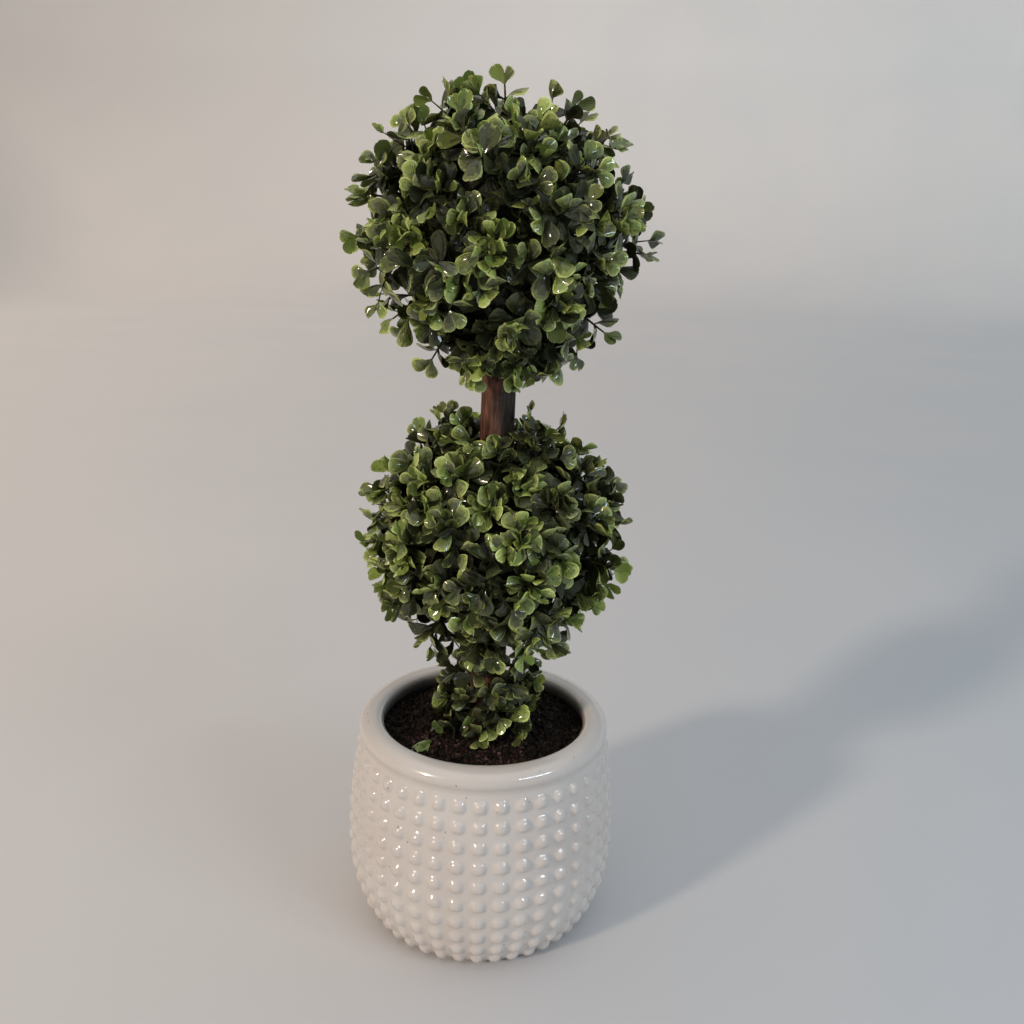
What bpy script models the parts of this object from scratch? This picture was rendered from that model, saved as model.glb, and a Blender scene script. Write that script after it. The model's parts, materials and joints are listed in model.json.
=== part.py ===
"""Artificial double-ball boxwood topiary in a white hobnail ceramic pot.

A plastic plant at its own size: a glazed pot, a plug of dark soil, one wooden stem, two clipped
balls of boxwood sprigs and a skirt of sprigs round the foot of the stem. Metres, +Z up. The
origin is the centre of the pot's flat underside, and the plant is seen from -Y.
"""

import math
import random

import bmesh
import bpy
from mathutils import Euler, Matrix, Vector
from mathutils.bvhtree import BVHTree

MM = 0.001
GAP = 0.3 * MM  # clearance between a piece and the one that carries it

# Pot: a turned wall, studded all round, with a rolled lip.
BELLY_RADIUS = 66.0 * MM
BELLY_HEIGHT = 43.0 * MM
SHOULDER_RADIUS = 60.6 * MM
SHOULDER_HEIGHT = 97.8 * MM
TUCK_DEPTH = 29.0 * MM  # the half axes of the ellipse that the wall follows under the belly
TUCK_HEIGHT = 49.0 * MM
FOOT_RADIUS = 49.5 * MM
FOOT_HEIGHT = 1.6 * MM
WALL = 5.0 * MM
FLOOR_THICKNESS = 6.0 * MM
OPENING_RADIUS = 50.0 * MM
LIP_RADIUS = 62.2 * MM
LIP_TOP = 109.2 * MM
LIP_CREST_RADIUS = 54.5 * MM
LIP_BULGE_HEIGHT = 103.5 * MM  # where the lip is widest
LIP_TUCK = 35.0  # degrees that its round outer side carries on below there
LIP_EDGE_HEIGHT = 105.0 * MM  # where its round inner side ends
LIP_UNDERCUT_HEIGHT = 101.5 * MM
CAVITY_HEIGHTS = (94.0 * MM, 68.0 * MM, 43.0 * MM, 20.0 * MM)
CAVITY_CORNER = 3.0 * MM
STUD_COLUMNS = 40
STUD_ROWS = 10
STUD_TURN = 0.6  # of a column, so that one column faces the front
STUD_HEIGHT = 1.8 * MM
STUD_INSET = 0.2  # of the stud's own cell, from each side

# Soil plug.
SOIL_EDGE_HEIGHT = 99.4 * MM
SOIL_TOP = 102.5 * MM
SOIL_SEAT_RADIUS = 12.0 * MM
SOIL_SLOPE_RADIUS = 34.0 * MM
SOIL_SLOPE_RISE = 1.2 * MM

# Stem: foot, waist between the balls, and tip, on one bowed line.
STEM_FOOT_X = 1.0 * MM
STEM_WAIST_X = 2.8 * MM
STEM_WAIST_Z = 261.0 * MM
STEM_TIP_X = 3.2 * MM
STEM_TIP_Z = 350.0 * MM
STEM_FOOT_RADIUS = 8.8 * MM
STEM_TIP_RADIUS = 7.7 * MM
STEM_SIDES = 16
STEM_STRETCH = 42.0 * MM  # longest straight stretch of the stem and of the ways cut for it
STEM_LOBES = 3
STEM_LOBE_DEPTH = 0.03  # of the radius

# Clipped balls: the reach is the distance from the centre to the furthest tips.
UPPER_CENTRE = Vector((2.4 * MM, 0.0, 339.5 * MM))
UPPER_REACH = 71.0 * MM
LOWER_CENTRE = Vector((3.5 * MM, 0.0, 202.6 * MM))
LOWER_REACH = 68.0 * MM
CORE_RADIUS = 49.0 * MM
CORE_TURN = (0.35, 0.2, 0.8)  # radians; keeps the core's edges off the edges of the stem's way
BALL_SPRIGS = 44
BALL_PAIRS = 2  # of leaves on a sprig
BALL_SPRIG_SHARE = (0.34, 0.56)  # of the depth between core and reach
HEADING_JITTER = 0.1
CLEAR_OF_STEM = 0.8 * MM
WAY_END = 5.0 * MM  # how far the stem's way is cut past a piece's end

# Skirt: sprigs that grow from a sleeve round the foot of the stem.
SLEEVE_HEIGHT = 24.0 * MM
SLEEVE_THICKNESS = 3.4 * MM
SKIRT_SPRIGS = 17
SKIRT_PAIRS = 2
SKIRT_LEAF_SIZE = 0.72
SKIRT_LENGTH = (9.0 * MM, 15.0 * MM)
SKIRT_CLIMB = (-5.0, 50.0)  # degrees above level
SKIRT_BASE = (0.25, 0.92)  # of the sleeve's height
SKIRT_REACH = 31.0 * MM
SKIRT_CLEARANCE = 1.5 * MM  # kept under the lower ball and over the soil

# Leaves stand for the many smaller ones of the real plant. Their sizes are shares of the largest.
LEAF_LENGTH = 21.0 * MM
LEAF_WIDTH = 17.0 * MM
LEAF_THICKNESS = 1.3 * MM
LEAF_WIDEST, LEAF_END = 0.52, 0.97  # places of its side and end corners along its length
LEAF_END_HALF = 0.27  # half the width of its blunt end, as a share of its width
LEAF_SIZES = (0.85, 1.06)
TIP_SHRINK = 0.16
RETRY_SIZES = (1.0, 0.87, 0.74, 0.6)  # tried in turn for a leaf that lacks room
TWIG_RADIUS = 1.25 * MM
TWIG_TAPER = 0.6  # radius at the tip, as a share of that at the base
TWIG_BEND = (0.05, 0.25)
TWIG_SINK = 4.0 * MM
SKIRT_SINK = 1.2 * MM
LEAF_SINK = 0.15 * MM
FIRST_PAIR, LAST_PAIR = 0.62, 1.9  # places of the leaves along a twig's two stretches
FIRST_SPREAD, LAST_SPREAD = 76.0, 58.0  # degrees between a twig and its leaves
SPREAD_JITTER = 8.0  # degrees
TURN_JITTER = 0.25  # radians
GOLDEN_TURN = math.pi * (3.0 - math.sqrt(5.0))
LOWER_SEED, UPPER_SEED, SKIRT_SEED = 18, 24, 39


def finish(name, colour, roughness):
    """A material with one colour and roughness, none of them metal."""
    material = bpy.data.materials.new(name)
    material.use_nodes = True
    shader = material.node_tree.nodes["Principled BSDF"]
    shader.inputs["Base Color"].default_value = (*colour, 1.0)
    shader.inputs["Roughness"].default_value = roughness
    shader.inputs["Metallic"].default_value = 0.0
    return material


def add_object(name, points, faces, material=None):
    """One object from points and faces, with its faces turned outwards."""
    mesh = bpy.data.meshes.new(name)
    mesh.from_pydata([tuple(p) for p in points], [], faces)
    shape = bmesh.new()
    shape.from_mesh(mesh)
    bmesh.ops.recalc_face_normals(shape, faces=shape.faces)
    if shape.calc_volume(signed=True) < 0.0:
        bmesh.ops.reverse_faces(shape, faces=shape.faces)
    shape.to_mesh(mesh)
    shape.free()
    thing = bpy.data.objects.new(name, mesh)
    bpy.context.scene.collection.objects.link(thing)
    if material:
        mesh.materials.append(material)
    return thing


def ring(radius, height, sides, turned=0.0):
    """Points of a level circle, turned by a share of one side."""
    turns = (math.tau * (k + turned) / sides for k in range(sides))
    return [Vector((radius * math.cos(t), radius * math.sin(t), height)) for t in turns]


def turned_solid(profile):
    """Points and faces of a solid with the pot's sides, through radii and heights."""
    return skin([ring(radius, height, STUD_COLUMNS, STUD_TURN) for radius, height in profile])


def skin(rings):
    """Points and faces of a closed solid through level rings, from one flat cap to the other."""
    sides = len(rings[0])
    points = [p for level in rings for p in level]
    faces = [tuple(range(sides)), tuple(range(len(points) - sides, len(points)))]
    for row in range(len(rings) - 1):
        for k in range(sides):
            near, far = row * sides + k, row * sides + (k + 1) % sides
            faces.append((near, far, far + sides, near + sides))
    return points, faces


# --- pot -------------------------------------------------------------------------------------


def wall_radius(height):
    """Outer radius of the pot's wall between its studs."""
    if height > BELLY_HEIGHT:
        share = (height - BELLY_HEIGHT) / (SHOULDER_HEIGHT - BELLY_HEIGHT)
        return BELLY_RADIUS - (BELLY_RADIUS - SHOULDER_RADIUS) * share**2
    drop = (BELLY_HEIGHT - height) / TUCK_HEIGHT
    return BELLY_RADIUS - TUCK_DEPTH * (1.0 - math.sqrt(1.0 - drop**2))


def quarter(centre_r, centre_z, half_width, half_height, start, end, steps):
    """Radius and height along part of an ellipse, from start to end in degrees."""
    found = []
    for k in range(steps + 1):
        turn = math.radians(start + (end - start) * k / steps)
        found.append((centre_r + half_width * math.cos(turn), centre_z + half_height * math.sin(turn)))
    return found


def stud_levels():
    """Heights of the lines between the rows of studs, evenly spaced along the wall."""
    steps = 400
    heights = [FOOT_HEIGHT + (SHOULDER_HEIGHT - FOOT_HEIGHT) * k / steps for k in range(steps + 1)]
    lengths = [0.0]
    for low, high in zip(heights, heights[1:]):
        rise = math.hypot(high - low, wall_radius(high) - wall_radius(low))
        lengths.append(lengths[-1] + rise)
    levels = []
    for row in range(STUD_ROWS + 1):
        wanted = lengths[-1] * row / STUD_ROWS
        levels.append(min(zip(lengths, heights), key=lambda pair: abs(pair[0] - wanted))[1])
    return levels


def lip_profile():
    """Radius and height over the lip, from the groove under it to the undercut inside."""
    outside = quarter(
        LIP_CREST_RADIUS,
        LIP_BULGE_HEIGHT,
        LIP_RADIUS - LIP_CREST_RADIUS,
        LIP_TOP - LIP_BULGE_HEIGHT,
        -LIP_TUCK,
        90.0,
        4,
    )
    inside = quarter(
        LIP_CREST_RADIUS,
        LIP_EDGE_HEIGHT,
        LIP_CREST_RADIUS - OPENING_RADIUS,
        LIP_TOP - LIP_EDGE_HEIGHT,
        90.0,
        180.0,
        2,
    )
    return outside + inside[1:] + [(OPENING_RADIUS, LIP_UNDERCUT_HEIGHT)]


def cavity_profile(inset=0.0):
    """Radius and height down the pot's inner wall under the lip, less an inset."""
    wall = [(wall_radius(z) - WALL - inset, z) for z in CAVITY_HEIGHTS]
    floor = FLOOR_THICKNESS + inset
    return wall + [(wall_radius(floor) - WALL - CAVITY_CORNER - inset, floor)]


def studded(points, faces):
    """The pot's faces, with each of these four-sided ones raised into a blunt stud."""
    made = []
    for corners in faces:
        middle = sum((points[k] for k in corners), Vector()) / len(corners)
        first, second, _, last = (points[k] for k in corners)
        outward = (second - first).cross(last - first).normalized()
        if outward.dot(Vector((middle.x, middle.y, 0.0))) < 0.0:
            outward = -outward
        top = []
        for k in corners:
            top.append(len(points))
            points.append(points[k].lerp(middle, 2.0 * STUD_INSET) + outward * STUD_HEIGHT)
        made += [(corners[k - 1], corners[k], top[k], top[k - 1]) for k in range(len(corners))]
        made.append(tuple(top))
    return made


def make_pot(material):
    wall = [(wall_radius(height), height) for height in stud_levels()]
    points, faces = turned_solid([(FOOT_RADIUS, 0.0)] + wall + lip_profile() + cavity_profile())
    caps = 2
    first = caps + STUD_COLUMNS  # past the caps and the plain foot
    last = first + STUD_ROWS * STUD_COLUMNS
    studs = studded(points, faces[first:last])
    return add_object("pot", points, faces[:first] + studs + faces[last:], material)


def make_soil(material):
    """The plug fills the pot to just under its lip and rises to a seat under the stem."""
    profile = cavity_profile(GAP)[::-1]
    profile += [
        (OPENING_RADIUS - GAP, SOIL_EDGE_HEIGHT),
        (SOIL_SLOPE_RADIUS, SOIL_EDGE_HEIGHT + SOIL_SLOPE_RISE),
        (SOIL_SEAT_RADIUS, SOIL_TOP),
    ]
    return add_object("soil", *turned_solid(profile), material)


# --- stem ------------------------------------------------------------------------------------


def stem_foot():
    return SOIL_TOP + GAP


def stem_centre(height):
    """X of the stem's line, a parabola through its foot, waist and tip."""
    knots = ((stem_foot(), STEM_FOOT_X), (STEM_WAIST_Z, STEM_WAIST_X), (STEM_TIP_Z, STEM_TIP_X))
    total = 0.0
    for z_a, x_a in knots:
        share = 1.0
        for z_b, _ in knots:
            if z_b != z_a:
                share *= (height - z_b) / (z_a - z_b)
        total += x_a * share
    return total


def stem_radius(height):
    share = (height - stem_foot()) / (STEM_TIP_Z - stem_foot())
    return STEM_FOOT_RADIUS + (STEM_TIP_RADIUS - STEM_FOOT_RADIUS) * share


def stem_shape(low, high, extra=0.0):
    """Points and faces of the stem between two heights, grown by extra all round."""
    rings = []
    stretches = max(1, round((high - low) / STEM_STRETCH))
    for row in range(stretches + 1):
        height = low + (high - low) * row / stretches
        level = ring(1.0, height, STEM_SIDES)
        for k, point in enumerate(level):
            turn = math.tau * k / STEM_SIDES
            lobe = 1.0 + STEM_LOBE_DEPTH * math.cos(STEM_LOBES * turn)
            reach = stem_radius(height) * lobe + extra
            level[k] = Vector((stem_centre(height) + point.x * reach, point.y * reach, height))
        rings.append(level)
    return skin(rings)


def near_stem(point, clearance):
    """Whether a point lies within the clearance of the stem."""
    if not stem_foot() - clearance < point.z < STEM_TIP_Z + clearance:
        return False
    away = math.hypot(point.x - stem_centre(point.z), point.y)
    return away < stem_radius(point.z) * (1.0 + STEM_LOBE_DEPTH) + clearance


# --- leaves and twigs ------------------------------------------------------------------------


def any_normal(direction):
    """A unit vector square to a direction."""
    other = Vector((0.0, 0.0, 1.0)) if abs(direction.z) < 0.9 else Vector((1.0, 0.0, 0.0))
    return direction.cross(other).normalized()


def leaf_solid(root, along, up, size):
    """Points and faces of one leaf: a blunt flat blade over a shallow keel, 8 triangles."""
    across = along.cross(up).normalized()
    length, width = LEAF_LENGTH * size, LEAF_WIDTH * size
    start = root - along * LEAF_SINK
    points = [
        start,
        start + along * length * LEAF_WIDEST + across * width * 0.5,
        start + along * length * LEAF_END + across * width * LEAF_END_HALF,
        start + along * length * LEAF_END - across * width * LEAF_END_HALF,
        start + along * length * LEAF_WIDEST - across * width * 0.5,
        start + along * length * 0.5 - up * LEAF_THICKNESS,
    ]
    faces = [(0, 1, 4), (1, 2, 4), (2, 3, 4)]
    faces += [(5, (k + 1) % 5, k) for k in range(5)]
    return points, faces


def twig_solid(path):
    """Points and faces of a three-sided twig that thins along its path."""
    rings = []
    for k, place in enumerate(path):
        ahead = path[min(k + 1, len(path) - 1)] - path[max(k - 1, 0)]
        side = any_normal(ahead.normalized())
        other = ahead.normalized().cross(side)
        radius = TWIG_RADIUS * (1.0 - (1.0 - TWIG_TAPER) * k / (len(path) - 1))
        turns = (math.tau * n / 3 for n in range(3))
        rings.append([place + (side * math.cos(t) + other * math.sin(t)) * radius for t in turns])
    return skin(rings)


def sprig(rng, base, heading, length, pairs, size, sink=TWIG_SINK):
    """One sprig: a bending twig with opposite pairs of leaves, each pair a quarter turn on."""
    side = any_normal(heading)
    other = heading.cross(side)
    lean = rng.uniform(0.0, math.tau)
    bend = (side * math.cos(lean) + other * math.sin(lean)) * length * rng.uniform(*TWIG_BEND)
    path = [base - heading * sink]
    path += [base + heading * length * t + bend * t * t for t in (0.5, 1.0)]
    leaves = []
    spin = rng.uniform(0.0, math.tau)
    for pair in range(pairs):
        share = pair / max(1, pairs - 1)
        root = on_path(path, FIRST_PAIR + (LAST_PAIR - FIRST_PAIR) * share)
        for half in range(2):
            spread = FIRST_SPREAD + (LAST_SPREAD - FIRST_SPREAD) * share
            spread = math.radians(spread + rng.uniform(-SPREAD_JITTER, SPREAD_JITTER))
            turn = spin + math.pi * half + math.pi * 0.5 * pair
            turn += rng.uniform(-TURN_JITTER, TURN_JITTER)
            out = side * math.cos(turn) + other * math.sin(turn)
            along = heading * math.cos(spread) + out * math.sin(spread)
            up = heading * math.sin(spread) - out * math.cos(spread)
            leaf_size = size * rng.uniform(*LEAF_SIZES) * (1.0 - TIP_SHRINK * share)
            leaves.append((root, along, up, leaf_size))
    return path, leaves


def on_path(path, place):
    """A point on a path of straight stretches, by stretches from its start."""
    stretch = min(int(place), len(path) - 2)
    return path[stretch].lerp(path[stretch + 1], place - stretch)


def inside(points, allowed):
    return all(allowed(point) for point in points)


def grow(sprigs, allowed):
    """Solids of the twigs and leaves, less those that would leave their space or meet another.

    A leaf that would cross a leaf or another sprig's twig is tried again at smaller sizes.
    """
    solids, taken = [], []
    stem = BVHTree.FromPolygons(*stem_shape(stem_foot(), STEM_TIP_Z, CLEAR_OF_STEM))
    twigs = [(twig_solid(path), leaves) for path, leaves in sprigs]
    twigs = [(twig, leaves) for twig, leaves in twigs if inside(twig[0], allowed)]
    for number, (twig, _) in enumerate(twigs):
        solids.append(twig)
        taken.append((number, twig[0][-1], BVHTree.FromPolygons(*twig)))
    for number, (_, leaves) in enumerate(twigs):
        for root, along, up, size in leaves:
            for smaller in RETRY_SIZES:
                blade = leaf_solid(root, along, up, size * smaller)
                if not inside(blade[0][1:], allowed):
                    continue
                tree = BVHTree.FromPolygons(*blade)
                near = [stem]
                near += [
                    other
                    for owner, place, other in taken
                    if owner != number and GAP < (place - root).length < 3.0 * LEAF_LENGTH
                ]
                if not any(tree.overlap(other) for other in near):
                    solids.append(blade)
                    taken.append((-1, root, tree))
                    break
    return solids


def main_body(mesh):
    """Keeps the largest closed body: sealed hollows are filled and loose scraps dropped."""
    shape = bmesh.new()
    shape.from_mesh(mesh)
    left = set(shape.faces)
    bodies = []
    while left:
        reached, todo = [], [left.pop()]
        while todo:
            face = todo.pop()
            reached.append(face)
            for edge in face.edges:
                for other in edge.link_faces:
                    if other in left:
                        left.remove(other)
                        todo.append(other)
        bodies.append(reached)
    largest = max(bodies, key=len)
    loose = [face for body in bodies if body is not largest for face in body]
    bmesh.ops.delete(shape, geom=loose, context="FACES")
    needless = [vert for vert in shape.verts if len(vert.link_edges) == 2]
    bmesh.ops.dissolve_verts(shape, verts=needless)
    bmesh.ops.triangulate(shape, faces=shape.faces)
    shape.to_mesh(mesh)
    shape.free()


def apply_modifiers(thing):
    """Replaces an object's mesh by what its modifiers make of it."""
    bpy.context.view_layer.update()
    graph = bpy.context.evaluated_depsgraph_get()
    made = bpy.data.meshes.new_from_object(thing.evaluated_get(graph))
    old = thing.data
    thing.modifiers.clear()
    thing.data = made
    bpy.data.meshes.remove(old)


def remove_object(thing):
    mesh = thing.data
    bpy.data.objects.remove(thing)
    bpy.data.meshes.remove(mesh)


def fuse(thing, solids):
    """Joins loose solids to a thing with one Boolean union, and keeps one closed body."""
    group = bpy.data.collections.new(thing.name + "_loose")
    bpy.context.scene.collection.children.link(group)
    for number, (points, faces) in enumerate(solids):
        piece = add_object(f"{thing.name}_loose_{number}", points, faces)
        bpy.context.scene.collection.objects.unlink(piece)
        group.objects.link(piece)
    union = thing.modifiers.new("union", "BOOLEAN")
    union.operation = "UNION"
    union.operand_type = "COLLECTION"
    union.collection = group
    apply_modifiers(thing)
    for piece in list(group.objects):
        remove_object(piece)
    bpy.data.collections.remove(group)
    main_body(thing.data)


def cut_stem_hole(thing, low, high):
    """Cuts the stem's way through a thing, 0.3 mm clear all round."""
    cutter = add_object("stem_way", *stem_shape(low, high, GAP))
    cut = thing.modifiers.new("stem_way", "BOOLEAN")
    cut.operation = "DIFFERENCE"
    cut.object = cutter
    apply_modifiers(thing)
    remove_object(cutter)


# --- foliage ---------------------------------------------------------------------------------


def ball_headings(rng, count):
    """Directions spread evenly over a sphere, each a little off its place."""
    for number in range(count):
        level = 1.0 - 2.0 * (number + 0.5) / count
        across = math.sqrt(1.0 - level * level)
        turn = GOLDEN_TURN * number
        heading = Vector((across * math.cos(turn), across * math.sin(turn), level))
        offset = Vector([rng.uniform(-1.0, 1.0) for _ in range(3)]) * HEADING_JITTER
        yield (heading + offset).normalized()


def make_ball(name, centre, reach, seed, hole_top, material):
    """A clipped ball: sprigs that stand out of a round core on the stem."""
    rng = random.Random(seed)
    shape = bmesh.new()
    place = Matrix.Translation(centre) @ Euler(CORE_TURN).to_matrix().to_4x4()
    bmesh.ops.create_icosphere(shape, subdivisions=3, radius=CORE_RADIUS, matrix=place)
    mesh = bpy.data.meshes.new(name)
    shape.to_mesh(mesh)
    shape.free()
    mesh.materials.append(material)
    ball = bpy.data.objects.new(name, mesh)
    bpy.context.scene.collection.objects.link(ball)
    cut_stem_hole(ball, centre.z - CORE_RADIUS - WAY_END, hole_top)

    def allowed(point):
        return (point - centre).length < reach and not near_stem(point, CLEAR_OF_STEM)

    sprigs = []
    for heading in ball_headings(rng, BALL_SPRIGS):
        base = centre + heading * CORE_RADIUS
        length = (reach - CORE_RADIUS) * rng.uniform(*BALL_SPRIG_SHARE)
        sprigs.append(sprig(rng, base, heading, length, BALL_PAIRS, 1.0))
    fuse(ball, grow(sprigs, allowed))


def make_skirt(seed, material):
    """Sprigs that fan out of a sleeve round the stem's foot, between the soil and the ball."""
    rng = random.Random(seed)
    low = stem_foot() + GAP
    high = low + SLEEVE_HEIGHT
    sleeve = add_object("skirt", *stem_shape(low, high, GAP + SLEEVE_THICKNESS), material)
    cut_stem_hole(sleeve, low - WAY_END, high + WAY_END)

    def allowed(point):
        under_ball = (point - LOWER_CENTRE).length > LOWER_REACH + SKIRT_CLEARANCE
        over_soil = point.z > SOIL_TOP + SKIRT_CLEARANCE
        close_in = math.hypot(point.x - STEM_FOOT_X, point.y) < SKIRT_REACH
        return under_ball and over_soil and close_in and not near_stem(point, CLEAR_OF_STEM)

    sprigs = []
    for number in range(SKIRT_SPRIGS):
        turn = GOLDEN_TURN * number
        climb = math.radians(rng.uniform(*SKIRT_CLIMB))
        out = Vector((math.cos(turn), math.sin(turn), 0.0))
        heading = out * math.cos(climb) + Vector((0.0, 0.0, math.sin(climb)))
        height = low + SLEEVE_HEIGHT * rng.uniform(*SKIRT_BASE)
        surface = stem_radius(height) + GAP + SLEEVE_THICKNESS
        base = Vector((stem_centre(height), 0.0, height)) + out * surface
        length = rng.uniform(*SKIRT_LENGTH)
        sprigs.append(sprig(rng, base, heading, length, SKIRT_PAIRS, SKIRT_LEAF_SIZE, SKIRT_SINK))
    fuse(sleeve, grow(sprigs, allowed))


def main():
    for thing in list(bpy.data.objects):
        bpy.data.objects.remove(thing)
    glaze = finish("white_glaze", (0.78, 0.75, 0.71), 0.16)
    peat = finish("dark_soil", (0.030, 0.018, 0.013), 0.95)
    wood = finish("brown_wood", (0.19, 0.085, 0.048), 0.75)
    green = finish("boxwood_green", (0.075, 0.125, 0.035), 0.38)
    make_pot(glaze)
    make_soil(peat)
    add_object("trunk", *stem_shape(stem_foot(), STEM_TIP_Z), wood)
    through = LOWER_CENTRE.z + CORE_RADIUS + WAY_END
    make_ball("lower_ball", LOWER_CENTRE, LOWER_REACH, LOWER_SEED, through, green)
    make_ball("upper_ball", UPPER_CENTRE, UPPER_REACH, UPPER_SEED, STEM_TIP_Z + GAP, green)
    make_skirt(SKIRT_SEED, green)


main()
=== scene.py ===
"""Looks of the artificial double-ball boxwood topiary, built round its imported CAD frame."""

import json
import math
import random

import bpy
import numpy as np
from mathutils import Euler, Matrix, Vector

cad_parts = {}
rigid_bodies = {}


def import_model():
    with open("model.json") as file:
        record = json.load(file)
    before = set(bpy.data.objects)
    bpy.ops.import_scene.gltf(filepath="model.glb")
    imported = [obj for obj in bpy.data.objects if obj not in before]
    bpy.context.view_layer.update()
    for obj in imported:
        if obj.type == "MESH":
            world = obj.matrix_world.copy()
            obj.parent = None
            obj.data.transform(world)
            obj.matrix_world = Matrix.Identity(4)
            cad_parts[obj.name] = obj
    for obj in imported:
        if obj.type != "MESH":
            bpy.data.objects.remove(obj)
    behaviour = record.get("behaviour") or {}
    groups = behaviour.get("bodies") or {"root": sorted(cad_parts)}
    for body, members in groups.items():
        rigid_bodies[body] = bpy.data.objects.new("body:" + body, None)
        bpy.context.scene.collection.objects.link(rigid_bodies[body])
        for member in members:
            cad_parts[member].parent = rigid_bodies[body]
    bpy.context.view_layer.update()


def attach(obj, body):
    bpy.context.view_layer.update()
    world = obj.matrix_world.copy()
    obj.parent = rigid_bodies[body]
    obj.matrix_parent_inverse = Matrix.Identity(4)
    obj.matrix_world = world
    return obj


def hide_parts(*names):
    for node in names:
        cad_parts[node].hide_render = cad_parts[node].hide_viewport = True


for thing in list(bpy.data.objects):
    bpy.data.objects.remove(thing)
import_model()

MM = 0.001
GAP = 0.3 * MM

# Pot, with the CAD's own sizes.
BELLY_RADIUS = 66.0 * MM
BELLY_HEIGHT = 43.0 * MM
SHOULDER_RADIUS = 60.6 * MM
SHOULDER_HEIGHT = 97.8 * MM
TUCK_DEPTH = 29.0 * MM
TUCK_HEIGHT = 49.0 * MM
FOOT_RADIUS = 49.5 * MM
FOOT_HEIGHT = 1.6 * MM
FOOT_BEVEL = 1.2 * MM
WALL = 5.0 * MM
FLOOR_THICKNESS = 6.0 * MM
OPENING_RADIUS = 50.0 * MM
LIP_RADIUS = 62.2 * MM
LIP_TOP = 109.2 * MM
LIP_CREST_RADIUS = 54.5 * MM
LIP_BULGE_HEIGHT = 103.5 * MM
GROOVE_FOOT = 96.6 * MM
GROOVE_HEIGHT = 99.0 * MM
GROOVE_DEPTH = 0.35 * MM
GROOVE_TURN = 20.0
LIP_EDGE_HEIGHT = 105.0 * MM
LIP_UNDERCUT_HEIGHT = 101.5 * MM
STUD_TOP = 97.0 * MM
STUD_COLUMNS = 40
STUD_ROWS = 10
STUD_TURN = 0.6
STUD_HEIGHT = 1.8 * MM
STUD_STEPS = 12  # mesh cells across and up one stud
INNER_RINGS = 13  # rings of the mesh from the lip's inner edge to the floor
INNER_LEVELS = (94.0, 86.0, 68.0, 43.0, 20.0, 10.0)  # mm, rings down the inside of the wall

# Soil and stem, with the CAD's own sizes.
SOIL_EDGE_HEIGHT = 99.4 * MM
SOIL_TOP = 102.5 * MM
SOIL_SEAT_RADIUS = 12.0 * MM
SOIL_SLOPE_RADIUS = 34.0 * MM
SOIL_SLOPE_RISE = 1.2 * MM
SOIL_BED_RADIUS = OPENING_RADIUS + 3.0 * MM
SOIL_BED_BOTTOM = 92.0 * MM
CRUMB_RADIUS = OPENING_RADIUS + 0.6 * MM
RED_CRUMBS_TURN = -0.57 * math.pi  # where the reddish crumbs lie thickest, at the front
STEM_FOOT_X = 1.0 * MM
STEM_WAIST_X = 2.8 * MM
STEM_WAIST_Z = 261.0 * MM
STEM_TIP_X = 3.2 * MM
STEM_TIP_Z = 350.0 * MM
STEM_FOOT_RADIUS = 8.8 * MM
STEM_TIP_RADIUS = 7.7 * MM
STEM_LOBES = 3
STEM_LOBE_DEPTH = 0.03

# Foliage: the CAD's balls and reach, with smaller leaves on finer twigs.
UPPER_CENTRE = Vector((2.4 * MM, 0.0, 339.5 * MM))
UPPER_REACH = 71.0 * MM
LOWER_CENTRE = Vector((3.5 * MM, 0.0, 202.6 * MM))
LOWER_REACH = 68.0 * MM
INNER_RADIUS = 40.0 * MM
HEART_RADIUS = 35.0 * MM
LEAF_LENGTH = 13.2 * MM
LEAF_WIDTH = 8.8 * MM
RIB_TURNS_ALONG = 4.0  # fine ribs of a leaf: waves along its length and from its middle to its edge
RIB_TURNS_ACROSS = 4.0
LEAF_SPECULAR = 0.06
LEAF_COAT_IOR = 1.58
LEAF_COAT_ROUGHNESS = 0.14
GOLDEN_TURN = math.pi * (3.0 - math.sqrt(5.0))
RETRY_SIZES = (1.0, 0.84, 0.7)  # tried in turn for a leaf that lacks room
SPRAY_SHORTFALLS = (1.0, 3.0, 6.0, 9.0, 12.0, 16.0)  # mm that a spray ends inside the reach
SPRAY_AGES = (-0.35, -0.2, -0.05, 0.05, 0.35)  # how much fresher one spray's leaves are
PAINTED_LIGHT_SIDE_AGE = 0.16  # painted light: how much higher the age, and so the lighter the colour, of leaves on the side of the warm lamp
TIP_ROOM = 9.0 * MM  # room for the leaves past a spray's end
SPRAY_ANGLE = 0.24  # least angle between a stand-out and any other spray
EDGE_HEADING = 0.35  # sprays that point less than this forward or back end 3 mm or more inside
THINNED_HEADING = 0.5  # and below this they lack one side twig, so that sky shows between them
SIDE_TWIGS = 3
SKIRT_SPRIGS = 46
SKIRT_RADIUS = 32.0 * MM
INNER_SPRIGS = 120
SPRAY_TWIG = 0.75 * MM  # radii of twigs
SKIRT_TWIG = 0.7 * MM
INNER_TWIG = 0.6 * MM
SIDE_TWIG = 0.5 * MM
AGE_LIMIT = 9.0  # beyond any leaf's age

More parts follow.
